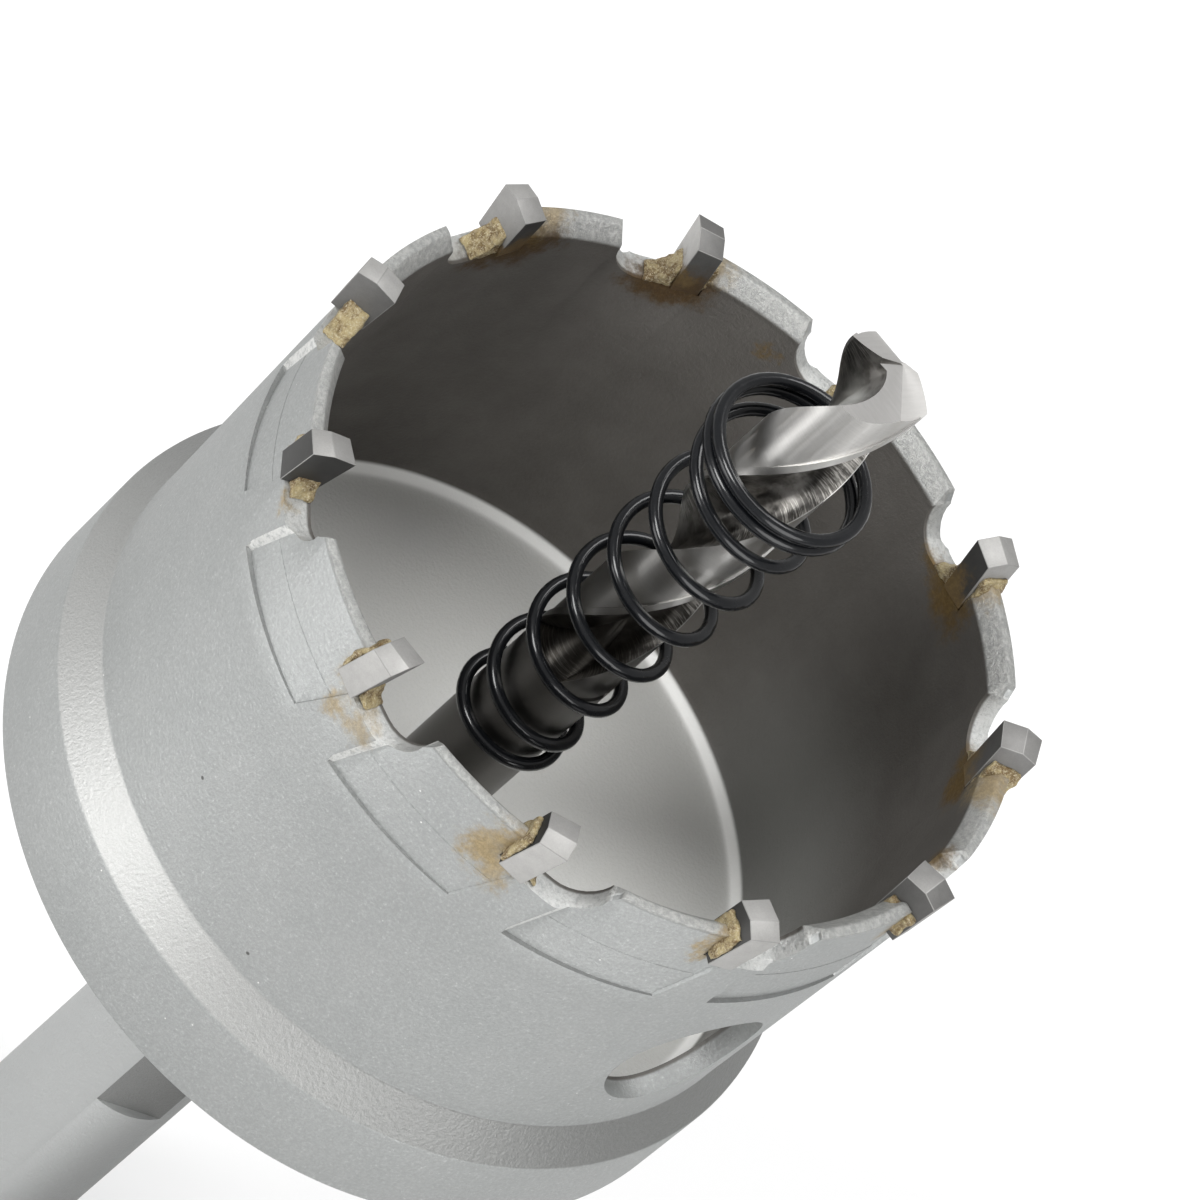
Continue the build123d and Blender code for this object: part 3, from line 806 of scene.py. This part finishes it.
drill = bpy.context.object
drill.name = "drill_with_point"
start_turn = radians(LIP_DIRECTION - flute_turn)
to_start = Matrix.Rotation(start_turn, 3, "Z")
for vertex, (across, up) in zip(drill.data.vertices, section):
    vertex.co = to_start @ Vector((across * MM, up * MM, FLUTE_START * MM))
flutes = drill.modifiers.new("flutes", "SCREW")
flutes.axis = "Z"
flutes.angle = radians(flute_turn)
flutes.screw_offset = FLUTE_LENGTH * MM
flutes.steps = 170
flutes.render_steps = 170
flutes.use_merge_vertices = False
apply_last(drill)
bpy.ops.object.mode_set(mode="EDIT")
for level in (FLUTE_START, TIP_LEVEL):
    bpy.ops.mesh.select_mode(type="VERT")
    bpy.ops.mesh.select_all(action="DESELECT")
    bpy.ops.object.mode_set(mode="OBJECT")
    for vertex in drill.data.vertices:
        vertex.select = abs(vertex.co.z - level * MM) < 1e-6
    bpy.ops.object.mode_set(mode="EDIT")
    bpy.ops.mesh.edge_face_add()
bpy.ops.mesh.select_all(action="SELECT")
bpy.ops.mesh.normals_make_consistent(inside=False)
bpy.ops.object.mode_set(mode="OBJECT")


def drill_direction(side, across, up):
    """A direction in the cutting edges' own axes, turned into the saw's."""
    turn = Matrix.Rotation(radians(LIP_DIRECTION + side), 3, "Z")
    return turn @ Vector((across, up, 0))


point_slope = tan(radians(90 - POINT_ANGLE / 2))
lip_fall = tan(radians(LIP_CLEARANCE))
for side in (0, 180):
    slope = drill_direction(side, point_slope, -lip_fall)
    grind(drill, (0, 0, TIP_LEVEL), (slope.x, slope.y, 1))
for side in (0, 180):
    bpy.ops.object.select_all(action="DESELECT")
    gash_plan = []
    for across, up in ((0, -0.1), (-1.1, -LIP_OFFSET), (-1.1, -6), (6, -6), (6, -0.1)):
        corner = drill_direction(side, across, up)
        gash_plan.append((corner.x, corner.y, TIP_LEVEL - 8))
    gash = outline_block(gash_plan, (0, 0, 14))
    start = drill_direction(side, 0, -0.1)
    slope = drill_direction(side, GASH_LEAN, GASH_RISE)
    grind(gash, (start.x, start.y, TIP_LEVEL - 0.1), (slope.x, slope.y, -1))
    cut(drill, gash)

rear = draw_out(
    "drill_shank",
    [
        (DRILL_RADIUS - 0.2, DRILL_BACK),
        (DRILL_RADIUS, DRILL_BACK + 0.2),
        (DRILL_RADIUS, FLUTE_START),
        (DRILL_RADIUS - 0.35, FLUTE_START + 0.45),
        (DRILL_RADIUS - 0.9, FLUTE_START + 1.4),
        (DRILL_RADIUS - 1.6, FLUTE_START + 3.0),
        (LIP_OFFSET, FLUTE_START + 6),
    ],
)
weld = drill.modifiers.new("weld", "BOOLEAN")
weld.operation = "UNION"
weld.solver = "EXACT"
weld.object = rear
apply_last(drill)
bpy.data.objects.remove(rear)

# Painted light and shade of each ground face of the point; the flutes and lands keep nought
point_faces = []
for side, flank_painted_light, gash_painted_light in ((0, 0.36, 0.235), (180, 0.42, 0.235)):
    slope = drill_direction(side, point_slope, -lip_fall)
    point_faces.append((Vector((slope.x, slope.y, 1)), flank_painted_light))
    slope = drill_direction(side, GASH_LEAN, GASH_RISE)
    point_faces.append((Vector((-slope.x, -slope.y, 1)), gash_painted_light))
painted_tones = drill.data.attributes.new("painted_tone", "FLOAT", "FACE")
for face in drill.data.polygons:
    for way, painted_tone in point_faces:
        if face.center.z > (TIP_LEVEL - 5) * MM and face.normal.angle(way) < radians(2):
            painted_tones.data[face.index].value = painted_tone

drill_steel, tree, shader, place = finish("ground_drill_steel", 1.0, 0.28)
shader.inputs["Anisotropic"].default_value = 0.9
shader.inputs["Anisotropic Rotation"].default_value = 0.25
around = node(tree, "ShaderNodeTangent", direction_type="RADIAL", axis="Z")
tree.links.new(around.outputs[0], shader.inputs["Tangent"])
radius_out = out_from_axis(tree, place)
level_up = node(tree, "ShaderNodeSeparateXYZ", {0: place}).outputs["Z"]
on_land = between(tree, radius_out, DRILL_RADIUS - 0.2, DRILL_RADIUS - 0.14)
stretched = node(tree, "ShaderNodeMapping", {"Vector": place, "Scale": (0.35, 0.35, 5.0)}).outputs[0]
rings = grain(tree, stretched, 2.2, 4.0, 0.7)
land_colour = mixed(tree, rings, (0.60, 0.59, 0.57, 1), (0.76, 0.75, 0.73, 1))
blotches = between(tree, grain(tree, place, 0.9, 3.0, 0.6), 0.35, 0.65)
striped = maths(tree, "MULTIPLY", between(tree, rings, 0.48, 0.62), between(tree, radius_out, 1.2, 2.6))
# The flutes are dark partly as their finish and partly as painted shade
flute_colour = mixed(tree, blotches, (0.08, 0.075, 0.068, 1), (0.2, 0.192, 0.18, 1))
flute_colour = mixed(tree, striped, flute_colour, (0.62, 0.60, 0.56, 1))
gash_foot = (*polar(2.0, 88), TIP_LEVEL - 4.2)
by_gash = node(tree, "ShaderNodeVectorMath", {0: place, 1: gash_foot}, operation="DISTANCE")
near_gash = between(tree, by_gash.outputs["Value"], 2.6, 0.8)
flute_colour = mixed(tree, near_gash, flute_colour, (0.50, 0.50, 0.47, 1))
colour = mixed(tree, on_land, flute_colour, land_colour)
# Painted shade: the drill is painted almost black down inside the cup
painted_cup_shade = between(tree, level_up, 88, 72)
colour = mixed(tree, maths(tree, "MULTIPLY", painted_cup_shade, 0.85), colour, (0.04, 0.036, 0.031, 1))
painted_tone = node(tree, "ShaderNodeAttribute", attribute_name="painted_tone").outputs["Fac"]
# The point's colour is its faces' painted light and shade, broken up by the grinding rings
point_painted_light = maths(tree, "MULTIPLY", painted_tone, maths(tree, "ADD", maths(tree, "MULTIPLY", rings, 0.3), 0.88))
warm_grey = (1.02, 1.0, 0.97)
point_colour = node(tree, "ShaderNodeVectorMath", {0: warm_grey, "Scale": point_painted_light}, operation="SCALE")
on_point = maths(tree, "GREATER_THAN", painted_tone, 0.01)
colour = mixed(tree, on_point, colour, point_colour.outputs[0])
tree.links.new(running(tree, on_point, 1.0, 0.3), shader.inputs["Metallic"])
tree.links.new(running(tree, on_point, 0.28, 0.5), shader.inputs["Roughness"])
tree.links.new(colour, shader.inputs["Base Color"])
relief_in(tree, shader, rings, 0.015, 0.3)
fit(drill, drill_steel, "drill_steel", "pilot_drill")


# Ejector spring. Black lacquered wire wound left-handed: closed turns at the front, open ones
# behind, and a narrower end that grips the drill.
WIRE = 0.85
FRONT_COIL_RADIUS = 5.1
MIDDLE_COIL_RADIUS = 4.48
REAR_COIL_RADIUS = DRILL_RADIUS + 0.12 + WIRE / 2
CLOSED_PITCH = WIRE + 0.08
OPEN_PITCH = 4.6
FRONT_TURNS = 1.814
REAR_TURNS = 1.05
COIL_TURNS = FRONT_TURNS + 6.2 + REAR_TURNS
COIL_TOP = RIM_LEVEL + 12.615
COIL_START = -77.2
POINTS_PER_TURN = 48


def eased(share):
    share = min(max(share, 0), 1)
    return share * share * (3 - 2 * share)


def coil_pitch(turn):
    opening = eased(turn - FRONT_TURNS + 0.3)
    closing = eased(COIL_TURNS - REAR_TURNS - turn + 0.6)
    return CLOSED_PITCH + (OPEN_PITCH - CLOSED_PITCH) * min(opening, closing)


def coil_radius(turn):
    necking = eased(turn - FRONT_TURNS + 0.2)
    tapering = min(max((turn - FRONT_TURNS) / (COIL_TURNS - FRONT_TURNS - 1.15), 0), 1)
    front = FRONT_COIL_RADIUS + (MIDDLE_COIL_RADIUS - FRONT_COIL_RADIUS) * necking
    return front + (REAR_COIL_RADIUS - MIDDLE_COIL_RADIUS) * tapering


coil = bpy.data.curves.new("coil_line", "CURVE")
coil.dimensions = "3D"
coil.bevel_depth = WIRE / 2 * MM
coil.bevel_resolution = 4
coil.use_fill_caps = True
line = coil.splines.new("POLY")
coil_points = round(COIL_TURNS * POINTS_PER_TURN) + 1
line.points.add(coil_points - 1)
fall = 0.0
for count, point in enumerate(line.points):
    turn = count / POINTS_PER_TURN
    across, along = polar(coil_radius(turn), COIL_START + 360 * turn)
    point.co = (across * MM, along * MM, (COIL_TOP - fall) * MM, 1)
    fall += coil_pitch(turn + 0.5 / POINTS_PER_TURN) / POINTS_PER_TURN
spring = bpy.data.objects.new("spring_wire", coil)
bpy.context.collection.objects.link(spring)
only(spring)
bpy.ops.object.convert(target="MESH")
spring = bpy.context.object
bpy.ops.object.mode_set(mode="EDIT")
bpy.ops.mesh.select_all(action="SELECT")
bpy.ops.mesh.remove_doubles(threshold=1e-6)
bpy.ops.mesh.normals_make_consistent(inside=False)
bpy.ops.object.mode_set(mode="OBJECT")
round_over(spring, 0.1, 60)

lacquer, tree, shader, place = finish("black_lacquer", 0.0, 0.2)
shader.inputs["Coat Weight"].default_value = 0.35
shader.inputs["Specular IOR Level"].default_value = 0.2
shader.inputs["Coat Roughness"].default_value = 0.06
fine = grain(tree, place, 1.4, 4.0, 0.6)
colour = mixed(tree, fine, (0.0022, 0.0026, 0.0034, 1), (0.007, 0.0078, 0.0095, 1))
tree.links.new(colour, shader.inputs["Base Color"])
tree.links.new(running(tree, fine, 0.16, 0.34), shader.inputs["Roughness"])
relief_in(tree, shader, fine, 0.01, 0.2)
fit(spring, lacquer, "spring_wire", "ejector_spring")


# Set screw. Blackened steel, screwed in from the flange's edge. Its end lies 0.3 mm inside the
# drill's round, and its outer end has a six-sided socket.
SCREW_RADIUS = 2.0
SCREW_INNER_END = DRILL_RADIUS - 0.3
SCREW_OUTER_END = DRILL_RADIUS + 5.7
SOCKET_DEPTH = 2.5
SOCKET_ACROSS_FLATS = 2.0

screw = cylinder_along(SCREW_ANGLE, SCREW_INNER_END, SCREW_OUTER_END, SCREW_RADIUS, SCREW_LEVEL, 48)
screw.name = "clamping_screw"
socket = cylinder_along(
    SCREW_ANGLE,
    SCREW_OUTER_END - SOCKET_DEPTH,
    SCREW_OUTER_END + 2.3,
    SOCKET_ACROSS_FLATS / 3**0.5,
    SCREW_LEVEL,
    6,
)
cut(screw, socket)
round_over(screw, 0.12, 40)
oxide, tree, shader, place = finish("blackened_steel", 0.9, 0.4)
fine = grain(tree, place, 4.0, 3.0, 0.6)
colour = mixed(tree, fine, (0.03, 0.03, 0.032, 1), (0.09, 0.09, 0.092, 1))
tree.links.new(colour, shader.inputs["Base Color"])
relief_in(tree, shader, fine, 0.02, 0.4)
fit(screw, oxide, "screw_steel", "set_screw")


# Studio. A plain pale floor under the shank's end, a white surround, four soft lamps, and the
# camera at the photograph's viewing angle.
bpy.ops.object.select_all(action="DESELECT")
bpy.ops.mesh.primitive_plane_add(size=8, location=(0, 0, 0))
floor = bpy.context.object
floor.name = "studio_floor"
paper = bpy.data.materials.new("pale_paper")
paper.use_nodes = True
tree = paper.node_tree
shader = tree.nodes["Principled BSDF"]
shader.inputs["Base Color"].default_value = (0.86, 0.86, 0.86, 1)
shader.inputs["Roughness"].default_value = 0.9
shader.inputs["Specular IOR Level"].default_value = 0.1
paths = node(tree, "ShaderNodeLightPath")
seen = maths(tree, "MAXIMUM", paths.outputs["Is Camera Ray"], paths.outputs["Is Transmission Ray"])
mirrored = maths(tree, "MAXIMUM", seen, paths.outputs["Is Glossy Ray"])
# To the camera the paper glows white away from the saw's shadow, and metal mirrors it duller
glow = node(tree, "ShaderNodeEmission", {"Color": (1, 1, 1, 1), "Strength": seen})
coordinates = node(tree, "ShaderNodeTexCoord")
off_middle = node(tree, "ShaderNodeVectorMath", {0: coordinates.outputs["Object"]}, operation="LENGTH")
far_off = maths(tree, "MULTIPLY", seen, between(tree, off_middle.outputs["Value"], 0.15, 0.5))
glow_share = maths(tree, "MAXIMUM", maths(tree, "MULTIPLY", mirrored, 0.4), far_off)
blend = node(tree, "ShaderNodeMixShader", {0: glow_share, 1: shader.outputs[0], 2: glow.outputs[0]})
tree.links.new(blend.outputs[0], tree.nodes["Material Output"].inputs["Surface"])
floor.data.materials.append(paper)

world = bpy.data.worlds.new("studio_surround")
bpy.context.scene.world = world
world.use_nodes = True
tree = world.node_tree
paths = node(tree, "ShaderNodeLightPath")
seen = maths(tree, "MAXIMUM", paths.outputs["Is Camera Ray"], paths.outputs["Is Transmission Ray"])
tree.links.new(running(tree, seen, 0.5, 1.0), tree.nodes["Background"].inputs["Strength"])
tree.nodes["Background"].inputs["Color"].default_value = (1, 1, 1, 1)

camera_data = bpy.data.cameras.new("photo_camera")
camera = bpy.data.objects.new("photo_camera", camera_data)
bpy.context.collection.objects.link(camera)
camera.location = (-0.1073, 0.27228, 0.35693)
camera.rotation_euler = (radians(34.732), radians(-32.491), radians(-120.446))
camera_data.sensor_width = 36
camera_data.lens = 210
camera_data.clip_start = 0.01
camera_data.clip_end = 20
bpy.context.scene.camera = camera

aim = Vector((0, 0, 65 * MM))
for name, place, size, power in (
    ("key_lamp", (0.183, 0.503, 0.62), 0.3, 3.8),
    ("fill_lamp", (-0.65, 0.18, 0.36), 0.6, 3.9),
    ("back_lamp", (0.11, -0.28, 0.80), 0.4, 3.0),
    ("low_lamp", (0.10, 0.30, 0.07), 0.16, 0.3),
):
    lamp_data = bpy.data.lights.new(name, "AREA")
    lamp_data.shape = "DISK"
    lamp_data.size = size
    lamp_data.energy = power
    lamp = bpy.data.objects.new(name, lamp_data)
    bpy.context.collection.objects.link(lamp)
    lamp.location = place
    lamp.rotation_euler = (Vector(place) - aim).to_track_quat("Z", "Y").to_euler()

view = bpy.context.scene.view_settings
view.view_transform = "Standard"
